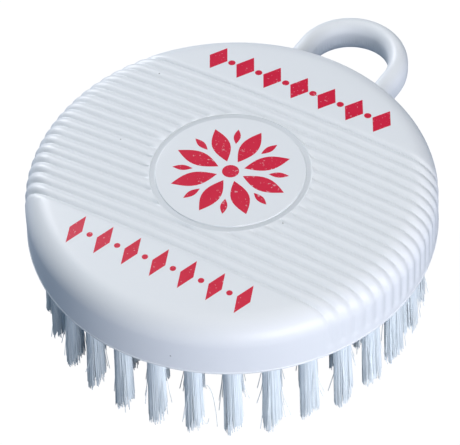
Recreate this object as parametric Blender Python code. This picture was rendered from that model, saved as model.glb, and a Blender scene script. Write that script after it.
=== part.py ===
"""Round mushroom brush, held in the palm: a ribbed white cap with a hanging loop, a tuft plate that
snaps into it, and 91 nylon tufts pushed through the plate and melted into heads behind it.

Metres, +Z up. The brush stands on its bristle tips at z = 0 with its axis on Z. The ribs run along X
and the hanging loop points along +Y.
"""

import math
import random

import bmesh
import bpy
from mathutils import Matrix, Vector

MM = 0.001

# Cap, outside
CAP_DIAMETER = 65 * MM
CAP_HEIGHT = 11 * MM
CROWN_RADIUS = 400 * MM
EDGE_RADIUS = 4.3 * MM
RIM_ROUND = 0.4 * MM

# Cap, inside
SIDE_WALL = 1.2 * MM
TOP_WALL = 2.3 * MM
CORNER_CHAMFER = 0.8 * MM
BEARING_RIB_WIDTH = 1.2 * MM

# Grip ribs, which cross the cap and run down its wall to a smooth foot band
RIB_COUNT = 17
RIB_PITCH = 2.04 * MM
RIB_DEPTH = 0.4 * MM
RIB_FOOT = 1.5 * MM
RIB_RUNOUT = 0.8 * MM
BAND_SLOPE = 0.8 * MM

# Medallion, a flat disc inside a round groove
MEDALLION_RADIUS = 11.8 * MM
MEDALLION_DROP = 0.1 * MM
MEDALLION_ROUND = 0.15 * MM
GROOVE_WIDTH = 0.9 * MM
GROOVE_DEPTH = 0.5 * MM

# Hanging loop, a tall narrow bar bent into a U, which stands a little askew of the ribs
LOOP_WIDTH = 19 * MM
LOOP_REACH = 13.5 * MM
LOOP_BAR_WIDTH = 3.3 * MM
LOOP_BAR_HEIGHT = 5.7 * MM
LOOP_ABOVE_RIM = 0.3 * MM
LOOP_TURN = math.radians(1.45)

# Tuft plate
PLATE_INSET = 0.4 * MM
PLATE_MARGIN = 0.6 * MM
PLATE_CHAMFER = 0.3 * MM
BEAD_RISE = 0.45 * MM
BEAD_HEIGHT = 1.2 * MM

# Tufts
BRISTLE_LENGTH = 17.5 * MM
HOLE_RADIUS = 1.5 * MM
HEAD_OVERLAP = 0.3 * MM
HEAD_THICKNESS = 0.7 * MM
STRAND_ROOT_RADIUS = 0.3 * MM
STRAND_TIP_RADIUS = 0.42 * MM
STRAND_SINK = 1 * MM
TIP_SCATTER = 2.5 * MM
TIP_TRIM = 0.5 * MM
TUFT_LEAN = 0.4 * MM

# Fits
CLEARANCE = 0.3 * MM
OVERRUN = 1 * MM

# Each ring of tufts from the outside in: its name, its tufts, the strands in a tuft
RINGS = (
    ("outer", 30, 7),
    ("second", 24, 5),
    ("third", 18, 4),
    ("fourth", 12, 4),
    ("fifth", 6, 4),
)
CENTRE_STRANDS = 7
SINGLE_TUFT_RINGS = 2

# Shares of the lengths that they follow
RIB_LINE_SHARES = (0.0, 0.25, 0.5, 0.75)
TOP_COLUMN_SHARES = (0.7, 0.4, 0.0)
STRAND_RING_SHARE = 0.6
TUFT_FAN_SHARE = 1.5

# Facets
TURN_STEPS = 60
EDGE_STEPS = 4
CAP_END_STEPS = 18
LOOP_STEPS = 14
BAR_END_STEPS = 4
HOLE_SIDES = 6
STRAND_SIDES = 3
SEED = 7

# Places that follow from the sizes above
CAP_RADIUS = CAP_DIAMETER / 2
PLATE_FACE_Z = BRISTLE_LENGTH
RIM_Z = PLATE_FACE_Z - PLATE_INSET
CAP_TOP_Z = RIM_Z + CAP_HEIGHT
CROWN_CENTRE_Z = CAP_TOP_Z - CROWN_RADIUS
EDGE_CENTRE_RADIUS = CAP_RADIUS - EDGE_RADIUS
EDGE_CENTRE_Z = CROWN_CENTRE_Z + math.sqrt(
    (CROWN_RADIUS - EDGE_RADIUS) ** 2 - EDGE_CENTRE_RADIUS**2
)
CROWN_EDGE_ANGLE = math.acos(EDGE_CENTRE_RADIUS / (CROWN_RADIUS - EDGE_RADIUS))
CROWN_EDGE_RADIUS = EDGE_CENTRE_RADIUS + EDGE_RADIUS * math.cos(CROWN_EDGE_ANGLE)
BORE_RADIUS = CAP_RADIUS - SIDE_WALL
PLATE_RADIUS = BORE_RADIUS - CLEARANCE
OUTER_RING_RADIUS = PLATE_RADIUS - PLATE_MARGIN - HOLE_RADIUS
CEILING_Z = (
    CROWN_CENTRE_Z + math.sqrt(CROWN_RADIUS**2 - CROWN_EDGE_RADIUS**2) - TOP_WALL
)
HEAD_TOP_Z = CEILING_Z - CLEARANCE
HEAD_FOOT_Z = HEAD_TOP_Z - HEAD_THICKNESS
PLATE_BACK_Z = HEAD_FOOT_Z - CLEARANCE
BEAD_Z = (PLATE_FACE_Z + PLATE_BACK_Z) / 2
ROOT_RADIUS = HOLE_RADIUS - CLEARANCE
HEAD_RADIUS = HOLE_RADIUS + HEAD_OVERLAP
BAND_HALF_WIDTH = RIB_COUNT * RIB_PITCH / 2 + BAND_SLOPE


def plastic(name, colour, roughness):
    material = bpy.data.materials.new(name)
    material.use_nodes = True
    shader = material.node_tree.nodes["Principled BSDF"]
    shader.inputs["Base Color"].default_value = (*colour, 1)
    shader.inputs["Roughness"].default_value = roughness
    shader.inputs["Metallic"].default_value = 0
    return material


def new_object(name, bm, material=None):
    """A mesh object from bm, with its faces outwards and shaded smooth between sharp edges."""
    bmesh.ops.recalc_face_normals(bm, faces=bm.faces)
    mesh = bpy.data.meshes.new(name)
    bm.to_mesh(mesh)
    bm.free()
    mesh.shade_smooth()
    mesh.set_sharp_from_angle(angle=math.radians(35))
    if material:
        mesh.materials.append(material)
    obj = bpy.data.objects.new(name, mesh)
    bpy.context.scene.collection.objects.link(obj)
    return obj


def combine(obj, helper, operation):
    """Joins helper to obj, or cuts it away, and keeps helper as a hidden wire shape."""
    helper.hide_render = True
    helper.display_type = "WIRE"
    modifier = obj.modifiers.new(helper.name, "BOOLEAN")
    modifier.operation = operation
    modifier.object = helper
    modifier.solver = "EXACT"


def add_faces_between(bm, rows):
    """Quads between neighbouring rows of vertices. A quad with two corners in one place is a triangle."""
    for first, second in zip(rows, rows[1:]):
        for k in range(len(first) - 1):
            corners = (first[k], first[k + 1], second[k + 1], second[k])
            if (second[k].co - second[k + 1].co).length < 1e-9:
                corners = corners[:3]
            bm.faces.new(corners)


def turn(bm, profile, steps):
    """A solid turned about Z from a closed outline of (radius, z) points."""
    start = [bm.verts.new((radius, 0, z)) for radius, z in profile]
    edges = [bm.edges.new(pair) for pair in zip(start, start[1:] + start[:1])]
    bmesh.ops.spin(
        bm,
        geom=start + edges,
        cent=(0, 0, 0),
        axis=(0, 0, 1),
        angle=math.tau,
        steps=steps,
        use_merge=True,
    )
    bmesh.ops.remove_doubles(bm, verts=bm.verts, dist=1e-7)
    bmesh.ops.dissolve_degenerate(bm, edges=bm.edges, dist=1e-7)
    on_axis = [e for e in bm.edges if not e.link_faces]
    bmesh.ops.delete(bm, geom=on_axis, context="EDGES")


def turned_object(name, profile, steps=TURN_STEPS, material=None):
    bm = bmesh.new()
    turn(bm, profile, steps)
    return new_object(name, bm, material)


def add_prism(bm, centre_low, centre_high, radius_low, radius_high, sides, turned=0.0):
    """A straight prism between two level polygons."""
    rings = []
    for centre, radius in ((centre_low, radius_low), (centre_high, radius_high)):
        corners = [
            centre + radius * Vector((math.cos(a), math.sin(a), 0))
            for a in (turned + math.tau * k / sides for k in range(sides))
        ]
        rings.append([bm.verts.new(corner) for corner in corners])
    low, high = rings
    bm.faces.new(list(reversed(low)))
    bm.faces.new(high)
    for k in range(sides):
        n = (k + 1) % sides
        bm.faces.new((low[k], low[n], high[n], high[k]))


def wall_rows():
    """Rows up the cap's wall and round its edge: radius, z, outward direction as (radial, up), relief."""
    rows = [
        (CAP_RADIUS - RIM_ROUND, RIM_Z, (1, 0), 0),
        (CAP_RADIUS, RIM_Z + RIM_ROUND, (1, 0), 0),
        (CAP_RADIUS, RIM_Z + RIB_FOOT, (1, 0), 0),
        (CAP_RADIUS, RIM_Z + RIB_FOOT + RIB_RUNOUT, (1, 0), 1),
    ]
    for step in range(EDGE_STEPS + 1):
        angle = CROWN_EDGE_ANGLE * step / EDGE_STEPS
        outward = (math.cos(angle), math.sin(angle))
        radius = EDGE_CENTRE_RADIUS + EDGE_RADIUS * outward[0]
        rows.append((radius, EDGE_CENTRE_Z + EDGE_RADIUS * outward[1], outward, 1))
    return rows


def crown_row(radius):
    """The same for a point on the crown, which is part of a large sphere."""
    rise = math.sqrt(CROWN_RADIUS**2 - radius**2)
    outward = (radius / CROWN_RADIUS, rise / CROWN_RADIUS)
    return radius, CROWN_CENTRE_Z + rise, outward, 1


def crown_column_x(share, y):
    return share * math.sqrt(CROWN_EDGE_RADIUS**2 - y**2)


def rib_lines():
    """Lines along the ribs: y, and how deep the relief is there, 1 in a valley and 0 on a crest."""
    first = -RIB_COUNT * RIB_PITCH / 2
    lines = [(-BAND_HALF_WIDTH, 0)]
    for rib in range(RIB_COUNT):
        for share in RIB_LINE_SHARES:
            lines.append((first + (rib + share) * RIB_PITCH, (2 * share - 1) ** 2))
    return lines + [(-first, 1), (BAND_HALF_WIDTH, 0)]


def relief_point(row, x, y, depth):
    """The point of the cap at x, y on a row, sunk along its outward direction by the rib relief."""
    radius, z, (radial, up), relief = row
    share = radial / radius if radius else 0
    outward = Vector((x * share, y * share, up))
    return Vector((x, y, z)) - outward * RIB_DEPTH * relief * depth


def half_section(y, depth):
    """The cap's surface cut at y, from its rim to the middle, on the +X side."""
    points = []
    for row in wall_rows():
        points.append(relief_point(row, math.sqrt(row[0] ** 2 - y**2), y, depth))
    for share in TOP_COLUMN_SHARES:
        x = crown_column_x(share, y)
        points.append(relief_point(crown_row(math.hypot(x, y)), x, y, depth))
    return points


def add_ribbed_band(bm):
    rows = []
    for y, depth in rib_lines():
        half = half_section(y, depth)
        other = [Vector((-p.x, p.y, p.z)) for p in reversed(half[:-1])]
        rows.append([bm.verts.new(point) for point in half + other])
    add_faces_between(bm, rows)


def add_smooth_end(bm, side):
    """The part of the cap beyond the ribs, on the +Y side for side 1 and the -Y side for side -1."""
    profile = wall_rows()
    for share in TOP_COLUMN_SHARES:
        x = crown_column_x(share, BAND_HALF_WIDTH)
        profile.append(crown_row(math.hypot(x, BAND_HALF_WIDTH)))
    rows = []
    for radius, z, _, _ in profile:
        start = math.asin(min(1, BAND_HALF_WIDTH / radius))
        sweep = math.pi - 2 * start
        row = []
        for k in range(CAP_END_STEPS + 1):
            angle = start + sweep * k / CAP_END_STEPS
            point = (radius * math.cos(angle), side * radius * math.sin(angle), z)
            row.append(bm.verts.new(point))
        rows.append(row)
    add_faces_between(bm, rows)


def cap_blank():
    """The cap's outside as one solid block, ribs included."""
    bm = bmesh.new()
    add_ribbed_band(bm)
    for side in (1, -1):
        add_smooth_end(bm, side)
    bmesh.ops.remove_doubles(bm, verts=bm.verts, dist=1e-7)
    rim = [e for e in bm.edges if e.is_boundary]
    bmesh.ops.contextual_create(bm, geom=rim)
    return bm


def hanging_loop():
    """A bar with round top and bottom edges, swept round a U whose ends sink into the cap's wall."""
    bend_radius = (LOOP_WIDTH - LOOP_BAR_WIDTH) / 2
    bend_y = CAP_RADIUS + LOOP_REACH - LOOP_WIDTH / 2
    foot_y = math.sqrt((CAP_RADIUS - SIDE_WALL / 2) ** 2 - bend_radius**2)
    middle_z = RIM_Z + LOOP_ABOVE_RIM + LOOP_BAR_HEIGHT / 2
    round_radius = LOOP_BAR_WIDTH / 2
    straight = LOOP_BAR_HEIGHT / 2 - round_radius
    section = []
    for end in (1, -1):
        for step in range(BAR_END_STEPS + 1):
            angle = math.pi * step / BAR_END_STEPS
            out = end * round_radius * math.cos(angle)
            section.append((out, end * (straight + round_radius * math.sin(angle))))
    stations = [(Vector((bend_radius, foot_y, middle_z)), 0.0)]
    for step in range(LOOP_STEPS + 1):
        angle = math.pi * step / LOOP_STEPS
        x, y = bend_radius * math.cos(angle), bend_radius * math.sin(angle)
        stations.append((Vector((x, bend_y + y, middle_z)), angle))
    stations.append((Vector((-bend_radius, foot_y, middle_z)), math.pi))
    bm = bmesh.new()
    rings = []
    for centre, angle in stations:
        sideways = Vector((math.cos(angle), math.sin(angle), 0))
        ring = [bm.verts.new(centre + sideways * out + Vector((0, 0, up))) for out, up in section]
        rings.append(ring + ring[:1])
    add_faces_between(bm, rings)
    bm.faces.new(rings[0][:-1])
    bm.faces.new(rings[-1][:-1])
    bmesh.ops.rotate(bm, verts=bm.verts, cent=(0, 0, 0), matrix=Matrix.Rotation(-LOOP_TURN, 3, "Z"))
    return new_object("loop_shape", bm)


def medallion_pocket():
    radius = MEDALLION_RADIUS + GROOVE_WIDTH
    floor_z = CAP_TOP_Z - MEDALLION_DROP - GROOVE_DEPTH
    high_z = CAP_TOP_Z + OVERRUN
    return turned_object(
        "medallion_pocket", [(0, floor_z), (radius, floor_z), (radius, high_z), (0, high_z)]
    )


def medallion():
    top_z = CAP_TOP_Z - MEDALLION_DROP
    foot_z = top_z - GROOVE_DEPTH - TOP_WALL / 2
    return turned_object(
        "medallion_disc",
        [
            (0, foot_z),
            (MEDALLION_RADIUS, foot_z),
            (MEDALLION_RADIUS, top_z - MEDALLION_ROUND),
            (MEDALLION_RADIUS - MEDALLION_ROUND, top_z),
            (0, top_z),
        ],
    )


def cap_bore():
    """The space inside the cap, with the snap groove in its wall and a bearing rib on its ceiling."""
    rib_radius = (ring_radius(0) + ring_radius(1)) / 2
    rib_foot_z = PLATE_BACK_Z + CLEARANCE
    groove_half = BEAD_HEIGHT / 2 + CLEARANCE
    return turned_object(
        "cap_bore",
        [
            (0, RIM_Z - OVERRUN),
            (BORE_RADIUS, RIM_Z - OVERRUN),
            (BORE_RADIUS, BEAD_Z - groove_half),
            (BORE_RADIUS + BEAD_RISE, BEAD_Z),
            (BORE_RADIUS, BEAD_Z + groove_half),
            (BORE_RADIUS, CEILING_Z - CORNER_CHAMFER),
            (BORE_RADIUS - CORNER_CHAMFER, CEILING_Z),
            (rib_radius + BEARING_RIB_WIDTH / 2, CEILING_Z),
            (rib_radius + BEARING_RIB_WIDTH / 2, rib_foot_z),
            (rib_radius - BEARING_RIB_WIDTH / 2, rib_foot_z),
            (rib_radius - BEARING_RIB_WIDTH / 2, CEILING_Z),
            (0, CEILING_Z),
        ],
    )


def build_cap(material):
    cap = new_object("ribbed_cap", cap_blank(), material)
    combine(cap, hanging_loop(), "UNION")
    combine(cap, medallion_pocket(), "DIFFERENCE")
    combine(cap, medallion(), "UNION")
    combine(cap, cap_bore(), "DIFFERENCE")


def ring_radius(ring):
    """Rings lie in equal steps from the outer one down to the centre tuft."""
    return OUTER_RING_RADIUS * (1 - ring / len(RINGS))


def tuft_places(ring, count):
    """The directions of a ring's tufts from the axis, as angles from +X."""
    return [(ring_radius(ring), math.tau * k / count) for k in range(count)]


def build_plate(material):
    plate = turned_object(
        "tuft_plate",
        [
            (0, PLATE_FACE_Z),
            (PLATE_RADIUS - PLATE_CHAMFER, PLATE_FACE_Z),
            (PLATE_RADIUS, PLATE_FACE_Z + PLATE_CHAMFER),
            (PLATE_RADIUS, BEAD_Z - BEAD_HEIGHT / 2),
            (PLATE_RADIUS + BEAD_RISE, BEAD_Z),
            (PLATE_RADIUS, BEAD_Z + BEAD_HEIGHT / 2),
            (PLATE_RADIUS, PLATE_BACK_Z - PLATE_CHAMFER),
            (PLATE_RADIUS - PLATE_CHAMFER, PLATE_BACK_Z),
            (0, PLATE_BACK_Z),
        ],
        material=material,
    )
    places = [(0, 0)]
    for ring, (_, count, _) in enumerate(RINGS):
        places += tuft_places(ring, count)
    bm = bmesh.new()
    for radius, angle in places:
        axis = Vector((radius * math.cos(angle), radius * math.sin(angle), 0))
        low = axis + Vector((0, 0, PLATE_FACE_Z - OVERRUN))
        high = axis + Vector((0, 0, PLATE_BACK_Z + OVERRUN))
        add_prism(bm, low, high, HOLE_RADIUS, HOLE_RADIUS, HOLE_SIDES, angle)
    combine(plate, new_object("tuft_holes", bm), "DIFFERENCE")


def add_strands(bm, radius, angle, strands, chance):
    """One tuft's strands. They fan out without crossing, and the long ones are trimmed level at z = 0."""
    outward = Vector((math.cos(angle), math.sin(angle), 0))
    axis = outward * radius
    lean = outward * TUFT_LEAN * (radius / OUTER_RING_RADIUS)
    base_z = PLATE_FACE_Z + STRAND_SINK
    for k in range(strands):
        tip_z = 0
        offset = Vector((0, 0, 0))
        if k:
            around = angle + math.tau * k / (strands - 1)
            offset = Vector((math.cos(around), math.sin(around), 0))
            offset *= ROOT_RADIUS * STRAND_RING_SHARE
            tip_z = max(0, chance.uniform(-TIP_TRIM, TIP_SCATTER))
        base = axis + offset + Vector((0, 0, base_z))
        far_tip = axis + offset * TUFT_FAN_SHARE + lean
        tip = base.lerp(far_tip, (base_z - tip_z) / base_z)
        add_prism(
            bm, tip, base, STRAND_TIP_RADIUS, STRAND_ROOT_RADIUS, STRAND_SIDES, angle + math.pi
        )


def root_object(name, radius, angle, material):
    """A single tuft's root: the packed filaments in their hole and the melted head behind the plate."""
    bm = bmesh.new()
    turn(
        bm,
        [
            (0, PLATE_FACE_Z),
            (ROOT_RADIUS, PLATE_FACE_Z),
            (ROOT_RADIUS, HEAD_FOOT_Z),
            (HEAD_RADIUS, HEAD_FOOT_Z),
            (HEAD_RADIUS, HEAD_TOP_Z),
            (0, HEAD_TOP_Z),
        ],
        HOLE_SIDES,
    )
    root = new_object(name, bm, material)
    root.location = (radius * math.cos(angle), radius * math.sin(angle), 0)
    root.rotation_euler = (0, 0, angle)
    return root


def build_single_tuft(name, radius, angle, strands, chance, material):
    root = root_object(name, radius, angle, material)
    bm = bmesh.new()
    add_strands(bm, radius, angle, strands, chance)
    combine(root, new_object(name + "_strands", bm), "UNION")


def build_ring_of_tufts(name, ring, count, strands, chance, material):
    """A ring of tufts whose melted heads have run together into one flat ring behind the plate."""
    radius = ring_radius(ring)
    melt = turned_object(
        name,
        [
            (radius - HEAD_RADIUS, HEAD_FOOT_Z),
            (radius + HEAD_RADIUS, HEAD_FOOT_Z),
            (radius + HEAD_RADIUS, HEAD_TOP_Z),
            (radius - HEAD_RADIUS, HEAD_TOP_Z),
        ],
        steps=TURN_STEPS // 2,
        material=material,
    )
    roots, bristles = bmesh.new(), bmesh.new()
    for radius, angle in tuft_places(ring, count):
        axis = Vector((radius * math.cos(angle), radius * math.sin(angle), 0))
        low = axis + Vector((0, 0, PLATE_FACE_Z))
        high = axis + Vector((0, 0, (HEAD_FOOT_Z + HEAD_TOP_Z) / 2))
        add_prism(roots, low, high, ROOT_RADIUS, ROOT_RADIUS, HOLE_SIDES, angle)
        add_strands(bristles, radius, angle, strands, chance)
    combine(melt, new_object(name + "_roots", roots), "UNION")
    combine(melt, new_object(name + "_strands", bristles), "UNION")


def build_tufts(material):
    chance = random.Random(SEED)
    for ring, (name, count, strands) in enumerate(RINGS):
        if ring >= SINGLE_TUFT_RINGS:
            build_ring_of_tufts(f"tufts_{name}_ring", ring, count, strands, chance, material)
            continue
        for k, (radius, angle) in enumerate(tuft_places(ring, count), start=1):
            build_single_tuft(f"tuft_{name}_{k:02d}", radius, angle, strands, chance, material)
    build_single_tuft("tuft_centre", 0, 0, CENTRE_STRANDS, chance, material)


def main():
    for obj in list(bpy.data.objects):
        bpy.data.objects.remove(obj)
    build_cap(plastic("white_gloss_plastic", (0.82, 0.86, 0.9), 0.25))
    build_plate(plastic("white_plate_plastic", (0.8, 0.84, 0.88), 0.4))
    build_tufts(plastic("nylon_bristle", (0.72, 0.8, 0.87), 0.45))


main()
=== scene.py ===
import math
import random

import bmesh
import bpy
from mathutils import Matrix, Vector
from mathutils.geometry import interpolate_bezier


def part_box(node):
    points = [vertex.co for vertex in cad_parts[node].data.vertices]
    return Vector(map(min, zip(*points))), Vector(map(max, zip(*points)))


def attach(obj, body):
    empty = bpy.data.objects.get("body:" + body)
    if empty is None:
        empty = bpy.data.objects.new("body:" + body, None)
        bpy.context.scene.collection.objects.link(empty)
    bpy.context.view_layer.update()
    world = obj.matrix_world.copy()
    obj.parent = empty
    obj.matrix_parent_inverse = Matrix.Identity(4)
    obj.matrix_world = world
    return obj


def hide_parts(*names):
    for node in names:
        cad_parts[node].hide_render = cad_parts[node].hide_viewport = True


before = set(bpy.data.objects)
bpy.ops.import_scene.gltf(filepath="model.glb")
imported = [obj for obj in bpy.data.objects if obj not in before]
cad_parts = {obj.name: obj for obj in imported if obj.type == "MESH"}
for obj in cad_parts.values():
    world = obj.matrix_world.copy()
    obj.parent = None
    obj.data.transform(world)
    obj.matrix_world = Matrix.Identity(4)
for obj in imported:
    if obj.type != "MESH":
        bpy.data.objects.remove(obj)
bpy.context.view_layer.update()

# The cap. One moulding in glossy white plastic: a slightly domed top with grip ribs across it, a round
# medallion inside a groove, a rounded edge and a thin side wall, hollow underneath, with a hanging loop
# moulded onto the wall. The ribs run over the edge and down the wall, and die out above the foot.

MM = 0.001
cap_low, cap_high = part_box("ribbed_cap")
CAP_RADIUS = cap_high.x
RIM_Z = cap_low.z
MEDALLION_TOP_Z = cap_high.z
MEDALLION_DROP = 0.1 * MM
CAP_TOP_Z = MEDALLION_TOP_Z + MEDALLION_DROP
CROWN_RADIUS = 400 * MM
EDGE_RADIUS = 4.3 * MM
EDGE_CENTRE_RADIUS = CAP_RADIUS - EDGE_RADIUS
RIM_ROUND = 0.3 * MM
RIM_LIP = 0.09 * MM
SIDE_WALL = 1.2 * MM
TOP_WALL = 2.3 * MM
MEDALLION_RADIUS = 11.8 * MM
MEDALLION_ROUND = 0.1 * MM
GROOVE_WIDTH = 0.9 * MM
GROOVE_DEPTH = 0.22 * MM
GROOVE_OUTER = MEDALLION_RADIUS + GROOVE_WIDTH
SMALL_ROUND = 0.12 * MM
GROOVE_ROUND = 0.18 * MM
GROOVE_FADE = 0.5 * MM
SURFACE_DEPTH = 0.03 * MM
CAP_STEPS = 192
CROWN_RINGS = 12
EDGE_RINGS = 14
WALL_RINGS = 10
MERGE_DISTANCE = 1e-7
SHARP_ANGLE = math.radians(40)

RIB_COUNT = 17
RIB_PITCH = 2.04 * MM
RIB_DEPTH = 0.4 * MM
RIB_FOOT = 1.5 * MM
RIB_RUNOUT = 0.8 * MM
RIB_SHARPNESS = 1.12
WALL_RIB_SHARE = 0.5
SHOULDER_DROP = 2.6 * MM
BAND_SLOPE = 0.8 * MM
BAND_HALF = RIB_COUNT * RIB_PITCH / 2
CUT_SHARES = (0, 0.03, 0.1, 0.2, 0.35, 0.5, 0.65, 0.8, 0.9, 0.97)
SLOPE_SHARES = (0.3, 0.6, 1)

CROWN_CENTRE_Z = CAP_TOP_Z - CROWN_RADIUS
EDGE_CENTRE_Z = CROWN_CENTRE_Z + math.sqrt(
    (CROWN_RADIUS - EDGE_RADIUS) ** 2 - EDGE_CENTRE_RADIUS**2
)
CROWN_EDGE_ANGLE = math.acos(EDGE_CENTRE_RADIUS / (CROWN_RADIUS - EDGE_RADIUS))


def crown_z(radius):
    """The height of the domed top at a distance from the axis."""
    return CROWN_CENTRE_Z + math.sqrt(CROWN_RADIUS**2 - radius**2)


def arc(centre_r, centre_z, radius, start, end, steps):
    """Points of an arc in the (radius, z) plane. Angles are in degrees, 0 outwards and 90 upwards."""
    angles = [math.radians(start + (end - start) * k / steps) for k in range(steps + 1)]
    return [(centre_r + radius * math.cos(a), centre_z + radius * math.sin(a)) for a in angles]


def cap_profile():
    """The cap's wall cut from axis to axis: over the outside, round the foot and under the ceiling."""
    groove_z = MEDALLION_TOP_Z - GROOVE_DEPTH
    bore = CAP_RADIUS - SIDE_WALL
    ceiling_z = crown_z(EDGE_CENTRE_RADIUS) - TOP_WALL
    points = [(0, MEDALLION_TOP_Z)]
    points += [(MEDALLION_RADIUS * k / 5, MEDALLION_TOP_Z) for k in range(1, 5)]
    edge_r, edge_z = MEDALLION_RADIUS - MEDALLION_ROUND, MEDALLION_TOP_Z - MEDALLION_ROUND
    points += arc(edge_r, edge_z, MEDALLION_ROUND, 90, 0, 4)
    points += arc(MEDALLION_RADIUS + SMALL_ROUND, groove_z + SMALL_ROUND, SMALL_ROUND, 180, 270, 3)
    lip = GROOVE_ROUND * math.sqrt(0.5)
    points += arc(GROOVE_OUTER - lip, groove_z + GROOVE_ROUND, GROOVE_ROUND, 270, 315, 4)
    lip_z = crown_z(GROOVE_OUTER + lip) - GROOVE_ROUND
    points += arc(GROOVE_OUTER + lip, lip_z, GROOVE_ROUND, 135, 90, 4)
    span = EDGE_CENTRE_RADIUS - GROOVE_OUTER - 2 * lip
    for k in range(1, CROWN_RINGS):
        radius = GROOVE_OUTER + 2 * lip + span * k / CROWN_RINGS
        points.append((radius, crown_z(radius)))
    crown_angle = math.degrees(CROWN_EDGE_ANGLE)
    points += arc(EDGE_CENTRE_RADIUS, EDGE_CENTRE_Z, EDGE_RADIUS, crown_angle, 0, EDGE_RINGS)
    wall_low, wall_high = RIM_Z + RIM_ROUND + 2 * RIM_LIP, EDGE_CENTRE_Z
    for k in range(1, WALL_RINGS + 1):
        points.append((CAP_RADIUS, wall_high + (wall_low - wall_high) * k / WALL_RINGS))
    points += arc(CAP_RADIUS + RIM_LIP - RIM_ROUND, RIM_Z + RIM_ROUND, RIM_ROUND, 20, -90, 5)
    points += arc(bore + SMALL_ROUND, RIM_Z + SMALL_ROUND, SMALL_ROUND, 270, 180, 2)
    corner = 2 * SMALL_ROUND
    points += [(bore, ceiling_z - corner), (bore - corner, ceiling_z), (0, ceiling_z)]
    return points


def rib_depth(y):
    """How deep the relief is at y, from 0 on a crest or beside the band to 1 in a valley."""
    beyond = abs(y) - BAND_HALF
    if beyond >= BAND_SLOPE:
        return 0
    if beyond >= 0:
        return (1 - beyond / BAND_SLOPE) ** 2
    share = ((y + BAND_HALF) / RIB_PITCH) % 1
    return min(1, RIB_SHARPNESS * (2 * share - 1) ** 2)


def smooth_step(value):
    """A soft step from 0 to 1."""
    value = max(0, min(1, value))
    return value * value * (3 - 2 * value)


def depth_below(co):
    """How far a point lies under the cap's smooth outside."""
    radius = math.hypot(co.x, co.y)
    if radius < EDGE_CENTRE_RADIUS:
        return crown_z(radius) - co.z
    if co.z > EDGE_CENTRE_Z:
        return EDGE_RADIUS - math.hypot(radius - EDGE_CENTRE_RADIUS, co.z - EDGE_CENTRE_Z)
    return CAP_RADIUS - radius


def relief_at(co):
    """The share of the rib relief at a point of the cap: only outside, and not in the medallion."""
    radius = math.hypot(co.x, co.y)
    on_groove_lip = radius < GROOVE_OUTER + GROOVE_ROUND
    deepest = GROOVE_ROUND if on_groove_lip else SURFACE_DEPTH
    if radius < GROOVE_OUTER or depth_below(co) > deepest:
        return 0
    depth = wave = rib_depth(co.y)
    if abs(co.y) < BAND_HALF:
        wave = (1 + math.cos(math.tau * (co.y + BAND_HALF) / RIB_PITCH)) / 2
    shoulder = smooth_step((EDGE_CENTRE_Z + EDGE_RADIUS - co.z) / SHOULDER_DROP)
    depth += (wave * WALL_RIB_SHARE - depth) * shoulder
    depth *= smooth_step((radius - GROOVE_OUTER) / GROOVE_FADE)
    return depth * smooth_step((co.z - RIM_Z - RIB_FOOT) / RIB_RUNOUT)


def outward(co):
    """The direction straight out of the cap's smooth outside."""
    radius = math.hypot(co.x, co.y)
    if radius < EDGE_CENTRE_RADIUS:
        return (co - Vector((0, 0, CROWN_CENTRE_Z))).normalized()
    share = EDGE_CENTRE_RADIUS / radius
    return (co - Vector((co.x * share, co.y * share, min(co.z, EDGE_CENTRE_Z)))).normalized()


def spin_profile(bm, points, steps):
    """A closed body turned about Z from a line of (radius, z) points whose ends are on the axis."""
    line = [bm.verts.new((radius, 0, z)) for radius, z in points]
    edges = [bm.edges.new(pair) for pair in zip(line, line[1:])]
    bmesh.ops.spin(
        bm,
        geom=line + edges,
        cent=(0, 0, 0),
        axis=(0, 0, 1),
        angle=math.tau,
        steps=steps,
        use_merge=True,
    )
    bmesh.ops.remove_doubles(bm, verts=bm.verts, dist=MERGE_DISTANCE)
    bmesh.ops.recalc_face_normals(bm, faces=bm.faces)


def finish_mesh(name, bm):
    """An object from bm, shaded smooth between its sharp edges."""
    mesh = bpy.data.meshes.new(name)
    bm.to_mesh(mesh)
    bm.free()
    mesh.shade_smooth()
    mesh.set_sharp_from_angle(angle=SHARP_ANGLE)
    piece = bpy.data.objects.new(name, mesh)
    bpy.context.scene.collection.objects.link(piece)
    return piece


def cap_shell():
    """The cap without its loop: its profile turned, cut along the ribs and sunk by their relief."""
    bm = bmesh.new()
    spin_profile(bm, cap_profile(), CAP_STEPS)
    cuts = [-BAND_HALF - BAND_SLOPE * share for share in reversed(SLOPE_SHARES)]
    for rib in range(RIB_COUNT):
        cuts += [-BAND_HALF + (rib + share) * RIB_PITCH for share in CUT_SHARES]
    cuts += [BAND_HALF + BAND_SLOPE * share for share in (0, *SLOPE_SHARES)]
    for y in cuts:
        geom = bm.verts[:] + bm.edges[:] + bm.faces[:]
        bmesh.ops.bisect_plane(
            bm, geom=geom, dist=MERGE_DISTANCE, plane_co=(0, y, 0), plane_no=(0, 1, 0)
        )
    # The valley layer holds the depth of the rib relief and the groove layer marks the groove; the
    # finish paints shade into both.
    valley = bm.verts.layers.float.new("valley")
    groove = bm.verts.layers.float.new("groove")
    for v in bm.verts:
        depth = relief_at(v.co)
        v[valley] = depth
        radius = math.hypot(v.co.x, v.co.y)
        beside = MEDALLION_RADIUS - SURFACE_DEPTH < radius < GROOVE_OUTER + SURFACE_DEPTH
        v[groove] = float(beside and v.co.z > EDGE_CENTRE_Z)
        if depth:
            v.co -= outward(v.co) * RIB_DEPTH * depth
    return finish_mesh("cap", bm)


# The hanging loop. It is moulded in one with the cap's wall: a tall narrow bar, nearly oval in section,
# bent into a U, that swells a little into the wall. It stands a little askew of the ribs.

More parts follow.
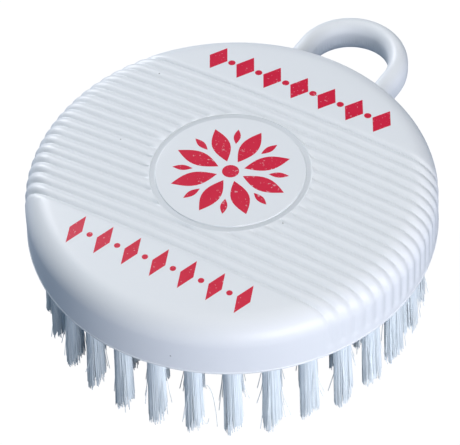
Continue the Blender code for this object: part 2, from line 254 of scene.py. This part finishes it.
LOOP_WIDTH = 19 * MM
LOOP_BAR_WIDTH = 3.3 * MM
LOOP_BAR_HEIGHT = 5.7 * MM
LOOP_OVAL_SHARE = 0.6
LOOP_ABOVE_RIM = 0.3 * MM
LOOP_TURN = math.radians(1.45)
BEND_RADIUS = (LOOP_WIDTH - LOOP_BAR_WIDTH) / 2
BEND_Y = (cap_high.y - LOOP_WIDTH / 2) / math.cos(LOOP_TURN)
LOOP_MIDDLE_Z = RIM_Z + LOOP_ABOVE_RIM + LOOP_BAR_HEIGHT / 2
FOOT_FILLET = 0.7 * MM
BAR_SIDES = 36
BEND_STEPS = 300
LEG_STEPS = 3
FILLET_STEPS = 5


def extend_ring(bm, ring, offset, grow):
    """Extrudes a ring of edges by offset, and lets it grow by that much on every side."""
    made = bmesh.ops.extrude_edge_only(bm, edges=ring)["geom"]
    verts = [g for g in made if isinstance(g, bmesh.types.BMVert)]
    edges = [g for g in made if isinstance(g, bmesh.types.BMEdge)]
    middle = sum((v.co for v in verts), Vector()) / len(verts)
    for v in verts:
        out = v.co - middle
        out.y = 0
        v.co += out.normalized() * grow
    bmesh.ops.translate(bm, verts=verts, vec=offset)
    return edges


def loop_leg(bm, ring):
    """A straight leg from the bend into the wall, with a hollow fillet at its foot."""
    wall_y = math.sqrt(CAP_RADIUS**2 - BEND_RADIUS**2)
    length = BEND_Y - wall_y - FOOT_FILLET
    for _ in range(LEG_STEPS):
        ring = extend_ring(bm, ring, (0, -length / LEG_STEPS, 0), 0)
    last_out, last_along = 0, 0
    for k in range(1, FILLET_STEPS + 1):
        angle = math.pi / 2 * k / FILLET_STEPS
        out, along = FOOT_FILLET * (1 - math.cos(angle)), FOOT_FILLET * math.sin(angle)
        ring = extend_ring(bm, ring, (0, last_along - along, 0), out - last_out)
        last_out, last_along = out, along
    ring = extend_ring(bm, ring, (0, -SIDE_WALL / 2, 0), 0)
    bmesh.ops.contextual_create(bm, geom=ring)


def hanging_loop():
    """A round section, drawn out between a flat-sided strip and an oval, and spun into a U."""
    bm = bmesh.new()
    circle = bmesh.ops.create_circle(bm, segments=BAR_SIDES, radius=LOOP_BAR_WIDTH / 2)["verts"]
    turn = Matrix.Rotation(math.pi / 2, 4, "X") @ Matrix.Rotation(math.pi / BAR_SIDES, 4, "Z")
    bmesh.ops.transform(bm, matrix=turn, verts=circle)
    straight = (LOOP_BAR_HEIGHT - LOOP_BAR_WIDTH) / 2
    for v in circle:
        oval = v.co.z * LOOP_BAR_HEIGHT / LOOP_BAR_WIDTH
        v.co.z += straight if v.co.z > 0 else -straight
        v.co.z += (oval - v.co.z) * LOOP_OVAL_SHARE
    bmesh.ops.translate(bm, verts=circle, vec=(BEND_RADIUS, BEND_Y, LOOP_MIDDLE_Z))
    first = list(bm.edges)
    bend = bmesh.ops.spin(
        bm,
        geom=list(bm.verts) + first,
        cent=(0, BEND_Y, 0),
        axis=(0, 0, 1),
        angle=math.pi,
        steps=BEND_STEPS,
    )["geom_last"]
    last = [g for g in bend if isinstance(g, bmesh.types.BMEdge)]
    loop_leg(bm, first)
    loop_leg(bm, last)
    askew = Matrix.Rotation(-LOOP_TURN, 3, "Z")
    bmesh.ops.rotate(bm, verts=bm.verts, cent=(0, 0, 0), matrix=askew)
    bmesh.ops.recalc_face_normals(bm, faces=bm.faces)
    return finish_mesh("loop", bm)


def join_by_boolean(piece, other, operation):
    """Joins the other mesh to the piece or cuts it away, and leaves only the piece."""
    modifier = piece.modifiers.new("join", "BOOLEAN")
    modifier.operation = operation
    modifier.object = other
    modifier.solver = "EXACT"
    bpy.context.view_layer.update()
    evaluated = piece.evaluated_get(bpy.context.evaluated_depsgraph_get())
    mesh = bpy.data.meshes.new_from_object(evaluated)
    piece.modifiers.clear()
    spent = (piece.data, other.data)
    piece.data = mesh
    bpy.data.objects.remove(other)
    for old in spent:
        bpy.data.meshes.remove(old)


# The cap's finish. White gloss plastic, greyed by painted shade in the groove and a little in the
# valleys of the ribs, with a very fine ripple from the mould, a few dark specks, and patches dulled by
# hands.


class Socket:
    """A socket of a material, so that masks are written as sums and products."""

    def __init__(self, finish, socket):
        self.finish, self.socket = finish, socket

    def math(self, operation, first, second):
        return self.finish.node("ShaderNodeMath", {"operation": operation}, {0: first, 1: second})

    def __add__(self, other):
        return self.math("ADD", self, other)

    def __mul__(self, other):
        return self.math("MULTIPLY", self, other)

    def __gt__(self, other):
        return self.math("GREATER_THAN", self, other)

    __radd__, __rmul__ = __add__, __mul__


class Finish:
    """A material on the Principled shader. Its other nodes come from node()."""

    def __init__(self, name, **constants):
        self.material = bpy.data.materials.new(name)
        self.material.use_nodes = True
        self.tree = self.material.node_tree
        self.shader = self.tree.nodes["Principled BSDF"]
        self.sockets(self.shader, {key.replace("_", " "): v for key, v in constants.items()})

    def sockets(self, node, values):
        for name, value in values.items():
            if isinstance(value, Socket):
                self.tree.links.new(value.socket, node.inputs[name])
            else:
                node.inputs[name].default_value = value

    def node(self, kind, settings=None, values=None, output=0):
        """A new node's output. Settings such as an operation or a ramp's two stops are set first."""
        made = self.tree.nodes.new(kind)
        for name, value in (settings or {}).items():
            if name == "stops":
                for stop, (place, shade) in zip(made.color_ramp.elements, value):
                    stop.position, stop.color = place, (shade, shade, shade, 1)
            else:
                setattr(made, name, value)
        self.sockets(made, values or {})
        return Socket(self, made.outputs[output])

    def place(self):
        return self.node("ShaderNodeTexCoord", output="Object")

    def stretched(self, scale):
        return self.node("ShaderNodeMapping", {}, {"Vector": self.place(), "Scale": scale})

    def noise(self, where, scale, detail):
        values = {"Vector": where, "Scale": scale, "Detail": detail}
        return self.node("ShaderNodeTexNoise", {}, values)

    def ramp(self, value, *stops):
        return self.node("ShaderNodeValToRGB", {"stops": stops}, {"Fac": value})

    def mix(self, share, first, second):
        settings = {"data_type": "RGBA", "clamp_factor": True}
        return self.node("ShaderNodeMix", settings, {0: share, 6: first, 7: second}, output=2)

    def bump(self, height, distance):
        values = {"Height": height, "Distance": distance, "Strength": 1.0}
        return self.node("ShaderNodeBump", {}, values)


WHITE = (0.79, 0.83, 0.875, 1)
PAINTED_SHADE_WHITE = (0.60, 0.645, 0.69, 1)
SPECK = (0.3, 0.31, 0.33, 1)
# How strongly painted shade darkens the valleys of the ribs and the groove round the medallion.
VALLEY_PAINTED_SHADE = 0.15
# Painted shade in the groove round the medallion, darker than in the valleys.
GROOVE_PAINTED_SHADE = 0.6
SPECKS_KEPT_OVER = 0.52
GLOSS_ROUGHNESS = 0.35
MOULD_RIPPLE = 0.03 * MM


def white_gloss():
    finish = Finish("white_gloss", IOR=1.45)
    valley = finish.node("ShaderNodeAttribute", {"attribute_name": "valley"}, output="Fac")
    cloud = finish.noise(finish.place(), 60.0, 4.0)
    rubbed = finish.ramp(cloud, (0.42, 0), (0.68, 1))
    cells = {"Vector": finish.place(), "Scale": 230.0, "Randomness": 1.0}
    dots = finish.node("ShaderNodeTexVoronoi", {}, cells)
    chosen = finish.noise(finish.place(), 95.0, 0.0)
    speck = finish.ramp(dots, (0.02, 1), (0.036, 0)) * (chosen > SPECKS_KEPT_OVER)
    groove = finish.node("ShaderNodeAttribute", {"attribute_name": "groove"}, output="Fac")
    # Painted shade: the rib valleys and the groove are mixed toward a darker white, standing in for the
    # shade that falls in these hollows.
    painted_shade = valley * valley * VALLEY_PAINTED_SHADE + groove * GROOVE_PAINTED_SHADE
    colour = finish.mix(painted_shade, WHITE, PAINTED_SHADE_WHITE)
    ripple = finish.noise(finish.place(), 900.0, 2.0)
    wave = finish.noise(finish.place(), 140.0, 1.0)
    finish.sockets(
        finish.shader,
        {
            "Base Color": finish.mix(speck, colour, SPECK),
            "Roughness": rubbed * 0.03 + GLOSS_ROUGHNESS,
            "Normal": finish.bump(ripple * 0.3 + wave, MOULD_RIPPLE),
        },
    )
    return finish.material


cap = cap_shell()
join_by_boolean(cap, hanging_loop(), "UNION")
cap.data.materials.clear()
cap.data.materials.append(white_gloss())
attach(cap, "root")
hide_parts("ribbed_cap")

# The tuft plate. A disc of satin plastic that snaps into the cap, with a round hole for each tuft. Only
# its lower face shows, set a little way up inside the rim.

plate_low, plate_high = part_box("tuft_plate")
PLATE_FACE_Z = plate_low.z
PLATE_BACK_Z = plate_high.z
PLATE_PLAY = 0.3 * MM
PLATE_RADIUS = CAP_RADIUS - SIDE_WALL - PLATE_PLAY
PLATE_CHAMFER = 0.3 * MM
HOLE_RADIUS = 1.5 * MM
HOLE_MOUTH = 0.2 * MM
HOLE_SIDES = 24
DRILL_OVERRUN = 1 * MM
RING_COUNTS = {"outer": 30, "second": 24, "third": 18, "fourth": 12, "fifth": 6}


def head_centre(node):
    """The axis of a single tuft, from the flat top of its melted head."""
    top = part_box(node)[1].z
    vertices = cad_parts[node].data.vertices
    head = [v.co for v in vertices if v.co.z > top - 0.01 * MM]
    return sum(head, Vector()) / len(head)


OUTER_RING_RADIUS = head_centre("tuft_outer_30").xy.length


def ring_places(ring):
    """Radius and angle of each tuft. The rings lie in equal steps down to the tuft in the centre."""
    step = list(RING_COUNTS).index(ring)
    radius = OUTER_RING_RADIUS * (1 - step / len(RING_COUNTS))
    return [(radius, math.tau * k / RING_COUNTS[ring]) for k in range(RING_COUNTS[ring])]


def tuft_plate():
    bm = bmesh.new()
    profile = [
        (0, PLATE_FACE_Z),
        (PLATE_RADIUS - PLATE_CHAMFER, PLATE_FACE_Z),
        (PLATE_RADIUS, PLATE_FACE_Z + PLATE_CHAMFER),
        (PLATE_RADIUS, PLATE_BACK_Z - PLATE_CHAMFER),
        (PLATE_RADIUS - PLATE_CHAMFER, PLATE_BACK_Z),
        (0, PLATE_BACK_Z),
    ]
    spin_profile(bm, profile, CAP_STEPS // 2)
    return finish_mesh("plate", bm)


def plate_holes():
    """The drills for all tufts as one mesh. Each is a rod that widens at the plate's lower face."""
    bm = bmesh.new()
    drill = bmesh.new()
    profile = [
        (0, PLATE_FACE_Z - DRILL_OVERRUN),
        (HOLE_RADIUS + HOLE_MOUTH + DRILL_OVERRUN, PLATE_FACE_Z - DRILL_OVERRUN),
        (HOLE_RADIUS, PLATE_FACE_Z + HOLE_MOUTH),
        (HOLE_RADIUS, PLATE_BACK_Z + DRILL_OVERRUN),
        (0, PLATE_BACK_Z + DRILL_OVERRUN),
    ]
    spin_profile(drill, profile, HOLE_SIDES)
    shape = bpy.data.meshes.new("drill")
    drill.to_mesh(shape)
    drill.free()
    for ring in RING_COUNTS:
        for radius, angle in ring_places(ring):
            before = len(bm.verts)
            bm.from_mesh(shape)
            bm.verts.ensure_lookup_table()
            offset = (radius * math.cos(angle), radius * math.sin(angle), 0)
            bmesh.ops.translate(bm, verts=bm.verts[before:], vec=offset)
    bm.from_mesh(shape)
    bpy.data.meshes.remove(shape)
    return finish_mesh("holes", bm)


PLATE_WHITE = (0.72, 0.76, 0.8, 1)
PLATE_SHADE = (0.6, 0.64, 0.68, 1)


def plate_plastic():
    finish = Finish("plate_plastic", IOR=1.5)
    cloud = finish.ramp(finish.noise(finish.place(), 120.0, 3.0), (0.35, 0), (0.7, 1))
    grain = finish.noise(finish.place(), 2600.0, 2.0)
    finish.sockets(
        finish.shader,
        {
            "Base Color": finish.mix(cloud * 0.35, PLATE_WHITE, PLATE_SHADE),
            "Roughness": cloud * 0.12 + 0.42,
            "Normal": finish.bump(grain, 0.02 * MM),
        },
    )
    return finish.material


plate = tuft_plate()
join_by_boolean(plate, plate_holes(), "DIFFERENCE")
plate.data.materials.clear()
plate.data.materials.append(plate_plastic())
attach(plate, "root")
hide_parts("tuft_plate")

# The tufts. Bundles of straight nylon filaments, clear with a milky tint, pushed through their holes
# and melted into heads behind the plate, cut ragged and a little aslant, with a few that stand away.
# The middle of a bundle doesn't show, so a few thick strands stand for it to where the ends part.

FILAMENT_RADIUS = 0.09 * MM
SKIN_FILAMENTS = 84
END_FILAMENTS = 60
CORE_RADIUS = 0.42 * MM
CORE_STOP = 2.6 * MM
CORE_STRANDS = 10
CORE_SHARE = 0.66
SKIN_SHARE = 0.94
END_START_SHARE = 0.6
BUNDLE_NORMAL_SHARE = 0.65
ROUND_SHARE = 0.5
OUTWARD_SHARE = 0.5
LIFT_SHARE = 0.2
TUFT_ROOT_RADIUS = 1.27 * MM
TUFT_TIP_RADIUS = 1.5 * MM
TUFT_LEAN = 0.3 * MM
ROOT_DEPTH = 2 * MM
TIP_HEIGHT = 1.8 * MM
CLUMPS = 9
CLUMP_SPREAD = 0.5 * MM
TIP_SPREAD = 0.55 * MM
TRIM_SLANT = 1.5 * MM
TRIM_ANGLE = math.radians(32)
TIP_SLANT = 0.3 * MM
DRIFT = 0.05 * MM
STRAY_SHARE = 0.075
STRAY_REACH = 1.8 * MM
STRAY_LIFT = 4 * MM
STRAY_THICKNESS = 0.6
STRAY_TURN = 0.7
STRAY_BEND = 0.25
LEAVING = 1.4
STRAY_LEAVING = 2.2
LONG_SHARE = 0.12
LONG_REACH = 1 * MM
GOLDEN_ANGLE = math.pi * (3 - math.sqrt(5))
SHARES_ALONG = (0, 0.25, 0.5, 0.75, 1)
LOOSE_SHARE = 1.02
LOOSE_STEPS = 16
ARCHED = [(1.5, 7.5 * MM), (3.5, 13.2 * MM), (6.6, 12 * MM), (6.9, 1.1 * MM)]
HOOKED = [(1.2, 6.5 * MM), (2, 3 * MM), (3.6, -0.6 * MM), (4.4, 2.9 * MM)]
LOOSE_ENDS = {"tuft_outer_25": (ARCHED, HOOKED)}
chance = random.Random(11)


def flat(angle, length=1):
    """A level vector at an angle from +X."""
    return Vector((math.cos(angle), math.sin(angle), 0)) * length


def scatter(size):
    """A level shift by chance."""
    return Vector((chance.gauss(0, size), chance.gauss(0, size), 0))


def packed_spots(count, inner, outer):
    """Places spread evenly over a ring of the bundle: shares of its radius, and angles."""
    start = chance.uniform(0, math.tau)
    for k in range(count):
        share = (k + 0.5) / count
        yield math.sqrt(inner**2 + (outer**2 - inner**2) * share), start + k * GOLDEN_ANGLE


def add_strand(curve, points, thickness=1.0, end_thickness=0.8):
    """A round filament through the points. Its thicknesses are shares of the usual one."""
    spline = curve.splines.new("POLY")
    spline.points.add(len(points) - 1)
    for place, point in zip(spline.points, points):
        place.co = (*point, 1)
        place.radius = thickness
    spline.points[-1].radius = end_thickness
    spline.use_smooth = True


def loose_end(axis, bend):
    """A filament that has sprung out sideways: its bend in degrees round the ring, and heights."""
    knots = [Vector(axis) for _ in bend]
    for knot, (turn, height) in zip(knots, bend):
        knot.rotate(Matrix.Rotation(math.radians(turn), 3, "Z"))
        knot.z = height
    return interpolate_bezier(*knots, LOOSE_STEPS)


class Tuft:
    """One tuft: where it stands, how it leans and how it was cut."""

    def __init__(self, radius, angle):
        self.axis = flat(angle, radius)
        self.lean = flat(angle, TUFT_LEAN * radius / OUTER_RING_RADIUS)
        self.slant = flat(TRIM_ANGLE, TRIM_SLANT) + scatter(TIP_SLANT)
        self.clumps = [chance.gauss(0, CLUMP_SPREAD) for _ in range(CLUMPS)]
        self.turned = chance.uniform(0, math.tau)

    def tip(self, reach, turned):
        """The trimmed end at a spot of the bundle. Filaments of one clump end at about one height."""
        way = flat(turned)
        place = self.axis + way * TUFT_TIP_RADIUS * reach + self.lean + scatter(DRIFT)
        clump = self.clumps[int(CLUMPS * ((turned + self.turned) / math.tau % 1))]
        height = TIP_HEIGHT + clump * reach + self.slant.dot(way) * reach + chance.gauss(0, TIP_SPREAD)
        place.z = max(FILAMENT_RADIUS, height)
        return place

    def mouth(self, reach, turned):
        """Where a filament leaves its hole."""
        place = self.axis + flat(turned) * TUFT_ROOT_RADIUS * reach
        place.z = PLATE_FACE_Z
        return place

    def filament(self, reach, turned):
        """A filament from inside its hole to its tip. It may end low, or stand away from the bundle."""
        mouth, tip = self.mouth(reach, turned), self.tip(reach, turned)
        bend, leaving, thickness = scatter(DRIFT / 2), LEAVING, 1
        if chance.random() < LONG_SHARE:
            tip.z -= chance.uniform(0, LONG_REACH)
        if chance.random() < STRAY_SHARE:
            away = flat(turned + chance.gauss(0, STRAY_TURN), STRAY_REACH * chance.uniform(0.2, 0.8))
            tip += away
            tip.z += chance.uniform(-0.1, 1) * STRAY_LIFT
            bend = away * chance.gauss(0, STRAY_BEND)
            leaving, thickness = STRAY_LEAVING, STRAY_THICKNESS
        tip.z = max(FILAMENT_RADIUS, tip.z)
        points = [mouth + Vector((0, 0, ROOT_DEPTH))]
        for share in SHARES_ALONG:
            point = mouth.lerp(tip, share)
            point.xy = mouth.xy.lerp(tip.xy, share**leaving)
            points.append(point + bend * math.sin(math.pi * share))
        return points, thickness

    def add_to(self, curve):
        """The strands of the middle, the skin's filaments, and the ends inside the skin."""
        for k in range(CORE_STRANDS):
            turned = math.tau * k / CORE_STRANDS + self.turned
            mouth = self.mouth(CORE_SHARE, turned)
            tip = self.axis + flat(turned) * TUFT_TIP_RADIUS * CORE_SHARE + self.lean
            tip.z = TIP_HEIGHT + CORE_STOP
            points = [mouth + Vector((0, 0, ROOT_DEPTH)), mouth, tip]
            add_strand(curve, points, CORE_RADIUS / FILAMENT_RADIUS, 2)
        for reach, turned in packed_spots(SKIN_FILAMENTS, SKIN_SHARE, 1):
            add_strand(curve, *self.filament(reach, turned))
        for reach, turned in packed_spots(END_FILAMENTS, 0, SKIN_SHARE):
            tip = self.tip(reach, turned)
            start = self.mouth(reach, turned).lerp(tip, END_START_SHARE)
            add_strand(curve, [start, tip])


def tuft_mesh(radius, angle, *bends):
    """One tuft as a mesh. Its normals are blended with the whole bundle's, as light runs round that."""
    curve = bpy.data.curves.new("strands", "CURVE")
    curve.dimensions = "3D"
    curve.bevel_depth = FILAMENT_RADIUS
    curve.bevel_resolution = 0
    curve.use_fill_caps = True
    tuft = Tuft(radius, angle)
    tuft.add_to(curve)
    for bend in bends:
        points = loose_end(tuft.axis * LOOSE_SHARE, bend)
        add_strand(curve, points, STRAY_THICKNESS, STRAY_THICKNESS)
    strands = bpy.data.objects.new("strands", curve)
    bpy.context.scene.collection.objects.link(strands)
    bpy.context.view_layer.update()
    evaluated = strands.evaluated_get(bpy.context.evaluated_depsgraph_get())
    mesh = bpy.data.meshes.new_from_object(evaluated)
    bpy.data.objects.remove(strands)
    bpy.data.curves.remove(curve)
    normals = []
    for v in mesh.vertices:
        away = v.co - tuft.axis
        away.z = 0
        apart = smooth_step((away.length - TUFT_TIP_RADIUS) / TUFT_LEAN - 1)
        inside = min(1, away.length / TUFT_ROOT_RADIUS)
        bundle = away.normalized() * inside * (1 - apart) * ROUND_SHARE
        bundle += tuft.axis.normalized() * OUTWARD_SHARE
        bundle.z = LIFT_SHARE + apart * OUTWARD_SHARE
        normals.append(v.normal.lerp(bundle, BUNDLE_NORMAL_SHARE).normalized())
    mesh.normals_split_custom_set_from_vertices(normals)
    return mesh


def tuft_piece(name, places):
    """One object of the tufts at these places. A place is a radius, an angle and any loose bends."""
    meshes = [tuft_mesh(*place) for place in places]
    piece = bpy.data.objects.new(name, meshes[0])
    bpy.context.scene.collection.objects.link(piece)
    others = [bpy.data.objects.new(name, mesh) for mesh in meshes[1:]]
    for other in others:
        bpy.context.scene.collection.objects.link(other)
    if others:
        joined = [piece, *others]
        with bpy.context.temp_override(active_object=piece, selected_editable_objects=joined):
            bpy.ops.object.join()
        for mesh in meshes[1:]:
            bpy.data.meshes.remove(mesh)
    return piece


NYLON = (0.805, 0.89, 0.935, 1)
NYLON_DARK = (0.715, 0.81, 0.875, 1)


def nylon():
    """Each filament has its own tint, because the noise is fine across the tufts and long down them."""
    finish = Finish("nylon", IOR=1.53)
    strands = finish.noise(finish.stretched((1, 1, 0.03)), 3200.0, 1.0)
    shade = finish.ramp(strands, (0.35, 0), (0.65, 1))
    finish.sockets(
        finish.shader,
        {
            "Base Color": finish.mix(shade, NYLON, NYLON_DARK),
            "Roughness": shade * 0.15 + 0.4,
        },
    )
    return finish.material


nylon_material = nylon()


def set_tuft(name, places, node):
    """Builds a piece of tufts in place of a node."""
    piece = tuft_piece(name, places)
    piece.data.materials.append(nylon_material)
    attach(piece, "root")
    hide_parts(node)


for ring in ("outer", "second"):
    for k, place in enumerate(ring_places(ring), start=1):
        node = f"tuft_{ring}_{k:02d}"
        set_tuft(f"bristles_{ring}_{k:02d}", [(*place, *LOOSE_ENDS.get(node, ()))], node)
for ring in ("third", "fourth", "fifth"):
    set_tuft(f"bristles_{ring}_ring", ring_places(ring), f"tufts_{ring}_ring")
set_tuft("bristles_centre", [(0, 0)], "tuft_centre")

# The printed ornament. Thin red ink, printed on the smooth parts of the top: a rosette in the medallion
# and a row of lozenges and dots on each side of the ribs.

INK_THICKNESS = 0.03 * MM
INK_SINK = 0.02 * MM
PETALS = 8
PETAL_STEPS = 10
ROW_Y = 21.6 * MM
ROW_COUNT = 7
ROW_PITCH = 5 * MM


def print_on_top(bm, verts):
    """Lifts flat shapes onto the top, so that they follow its dome or lie on the flat medallion."""
    for v in verts:
        radius = math.hypot(v.co.x, v.co.y)
        surface = MEDALLION_TOP_Z if radius < MEDALLION_RADIUS else crown_z(radius)
        v.co.z += surface - INK_SINK


def ink_shape(bm, outline):
    """A thin plate of ink from a flat outline."""
    verts = [bm.verts.new((x, y, 0)) for x, y in outline]
    face = bm.faces.new(verts)
    made = bmesh.ops.extrude_face_region(bm, geom=[face])["geom"]
    upper = [g for g in made if isinstance(g, bmesh.types.BMVert)]
    bmesh.ops.translate(bm, verts=upper, vec=(0, 0, INK_THICKNESS))
    print_on_top(bm, verts + upper)


def petal(length, start, width, turned):
    """A pointed petal between two arcs, reaching out from the centre at an angle."""
    points = []
    for side in (1, -1):
        for k in range(PETAL_STEPS):
            share = k / PETAL_STEPS if side == 1 else 1 - k / PETAL_STEPS
            along = start + length * share
            across = side * width / 2 * math.sin(math.pi * share)
            points.append((along, across))
    c, s = math.cos(turned), math.sin(turned)
    return [(c * a - s * b, s * a + c * b) for a, b in points]


def round_dot(x, y, radius, steps=20):
    angles = [math.tau * k / steps for k in range(steps)]
    return [(x + radius * math.cos(a), y + radius * math.sin(a)) for a in angles]


def lozenge(x, y, width, height):
    corners = [(width / 2, 0), (0, height / 2), (-width / 2, 0), (0, -height / 2)]
    return [(x + a, y + b) for a, b in corners]


def rosette(bm):
    """Long petals with short ones between them round a dot."""
    for k in range(PETALS):
        turned = math.tau * k / PETALS
        ink_shape(bm, petal(7.4 * MM, 2.2 * MM, 2.9 * MM, turned))
        ink_shape(bm, petal(3.2 * MM, 6 * MM, 1.1 * MM, turned + math.pi / PETALS))
    ink_shape(bm, round_dot(0, 0, 1.35 * MM))


def ornament_row(bm, y, width, height, dot):
    """A row of lozenges along the ribs at y, with a dot in each gap."""
    for k in range(ROW_COUNT):
        x = (k - (ROW_COUNT - 1) / 2) * ROW_PITCH
        ink_shape(bm, lozenge(x, y, width, height))
        if k < ROW_COUNT - 1:
            ink_shape(bm, round_dot(x + ROW_PITCH / 2, y, dot, 12))


RED = (0.62, 0.004, 0.04, 1)
RED_LIGHT = (0.68, 0.01, 0.052, 1)
RED_WORN = (0.75, 0.5, 0.55, 1)


def red_ink():
    finish = Finish("red_ink", IOR=1.5)
    worn = finish.ramp(finish.noise(finish.place(), 2200.0, 2.0), (0.66, 0), (0.72, 1))
    cloud = finish.noise(finish.place(), 300.0, 2.0)
    colour = finish.mix(cloud, RED, RED_LIGHT)
    finish.sockets(
        finish.shader,
        {
            "Base Color": finish.mix(worn * 0.7, colour, RED_WORN),
            "Roughness": cloud * 0.1 + 0.3,
        },
    )
    return finish.material


ink = bmesh.new()
rosette(ink)
ornament_row(ink, ROW_Y, 3.3 * MM, 5.6 * MM, 0.6 * MM)
ornament_row(ink, -ROW_Y, 2.3 * MM, 6 * MM, 0.5 * MM)
bmesh.ops.recalc_face_normals(ink, faces=ink.faces)
print_piece = finish_mesh("printed_ornament", ink)
print_piece.data.materials.append(red_ink())
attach(print_piece, "root")

# The studio. A pale floor that shows white to the camera and keeps a soft shadow, two main lamps in
# front on the right, one low and one high, a lamp behind on the left that lights the ribs' other side,
# a warm lamp above, two weak fills, and the camera at the photograph's angle.

FLOOR_SIZE = 4
FLOOR_MIRRORED = 0.08
FLOOR_GLOW = 1.12
FLOOR_GLOW_SHARE = 0.9
FLOOR_COLOUR = (0.13, 0.195, 0.29, 1)


def floor_material():
    """Mostly a glow to the camera, little of it to glossy surfaces, and dim and matt to the lamps."""
    finish = Finish("floor", Roughness=0.9)
    tree = finish.tree
    rays = tree.nodes.new("ShaderNodeLightPath")
    seen = Socket(finish, rays.outputs["Is Camera Ray"])
    seen += Socket(finish, rays.outputs["Is Glossy Ray"]) * FLOOR_MIRRORED
    seen += Socket(finish, rays.outputs["Is Transmission Ray"])
    glow = finish.node("ShaderNodeEmission", {}, {"Color": (1, 1, 1, 1), "Strength": FLOOR_GLOW})
    finish.sockets(finish.shader, {"Base Color": FLOOR_COLOUR})
    shader = Socket(finish, finish.shader.outputs[0])
    parts = {0: seen * FLOOR_GLOW_SHARE, 1: shader, 2: glow}
    mixed = finish.node("ShaderNodeMixShader", {}, parts)
    tree.links.new(mixed.socket, tree.nodes["Material Output"].inputs["Surface"])
    return finish.material


bm = bmesh.new()
bmesh.ops.create_grid(bm, x_segments=1, y_segments=1, size=FLOOR_SIZE / 2)
floor = finish_mesh("floor", bm)
floor.data.materials.append(floor_material())

world = bpy.data.worlds.new("studio")
bpy.context.scene.world = world
world.use_nodes = True
sky = world.node_tree.nodes["Background"].inputs
sky["Color"].default_value = (0.3, 0.6, 1, 1)
sky["Strength"].default_value = 0.11

# The camera was fitted to the outlines in the photograph. Its shift and focal length are in pixels.

CAMERA_AZIMUTH = 32.3
CAMERA_ELEVATION = 46.7
CAMERA_ROLL = 2.5
CAMERA_DISTANCE = 17 * CAP_RADIUS
CAMERA_SHIFT = (-2.66, -3.43)
SENSOR = 36
PICTURE_WIDTH = 460
FOCAL_PIXELS = 3488.6
LAMP_DISTANCE = 0.6
aim = Vector((0, 0, RIM_Z))


def direction(azimuth, elevation):
    """A direction from the object. Azimuth 0 is the front, along -Y, and 90 is along +X."""
    a, e = math.radians(azimuth), math.radians(elevation)
    return Vector((math.sin(a) * math.cos(e), -math.cos(a) * math.cos(e), math.sin(e)))


def softbox(name, azimuth, elevation, width, height, power, colour):
    """A soft lamp. Its azimuth is counted from the camera's, its width and height are angles too."""
    lamp = bpy.data.lights.new(name, "AREA")
    lamp.shape = "RECTANGLE"
    lamp.size = 2 * LAMP_DISTANCE * math.tan(math.radians(width / 2))
    lamp.size_y = 2 * LAMP_DISTANCE * math.tan(math.radians(height / 2))
    lamp.energy = power
    lamp.color = colour
    obj = bpy.data.objects.new(name, lamp)
    way = direction(CAMERA_AZIMUTH + azimuth, elevation)
    obj.location = aim + way * LAMP_DISTANCE
    obj.rotation_euler = way.to_track_quat("Z", "Y").to_euler()
    bpy.context.scene.collection.objects.link(obj)


softbox("key_low", 29, 9, 44, 22, 2.6, (0.98, 0.96, 1))
softbox("key_high", 34, 33, 64, 46, 1.25, (0.97, 0.95, 1))
softbox("back", -149, 28, 20, 40, 2.7, (0.94, 0.93, 0.98))
softbox("back_side", -120, 50, 36, 28, 0.2, (0.5, 0.8, 1))
softbox("overhead", 100, 88, 60, 60, 1.4, (1, 0.93, 0.72))
softbox("side", 110, 55, 40, 28, 0.15, (1, 0.85, 0.9))

camera_data = bpy.data.cameras.new("camera")
camera_data.sensor_width = SENSOR
camera_data.lens = FOCAL_PIXELS / PICTURE_WIDTH * SENSOR
camera_data.shift_x = CAMERA_SHIFT[0] / PICTURE_WIDTH
camera_data.shift_y = CAMERA_SHIFT[1] / PICTURE_WIDTH
camera_data.clip_start = 0.01
camera = bpy.data.objects.new("camera", camera_data)
away = direction(CAMERA_AZIMUTH, CAMERA_ELEVATION)
camera.location = aim + away * CAMERA_DISTANCE
look = away.to_track_quat("Z", "Y").to_matrix().to_4x4()
camera.rotation_euler = (look @ Matrix.Rotation(math.radians(-CAMERA_ROLL), 4, "Z")).to_euler()
bpy.context.scene.collection.objects.link(camera)
bpy.context.scene.camera = camera
bpy.context.scene.view_settings.view_transform = "Standard"
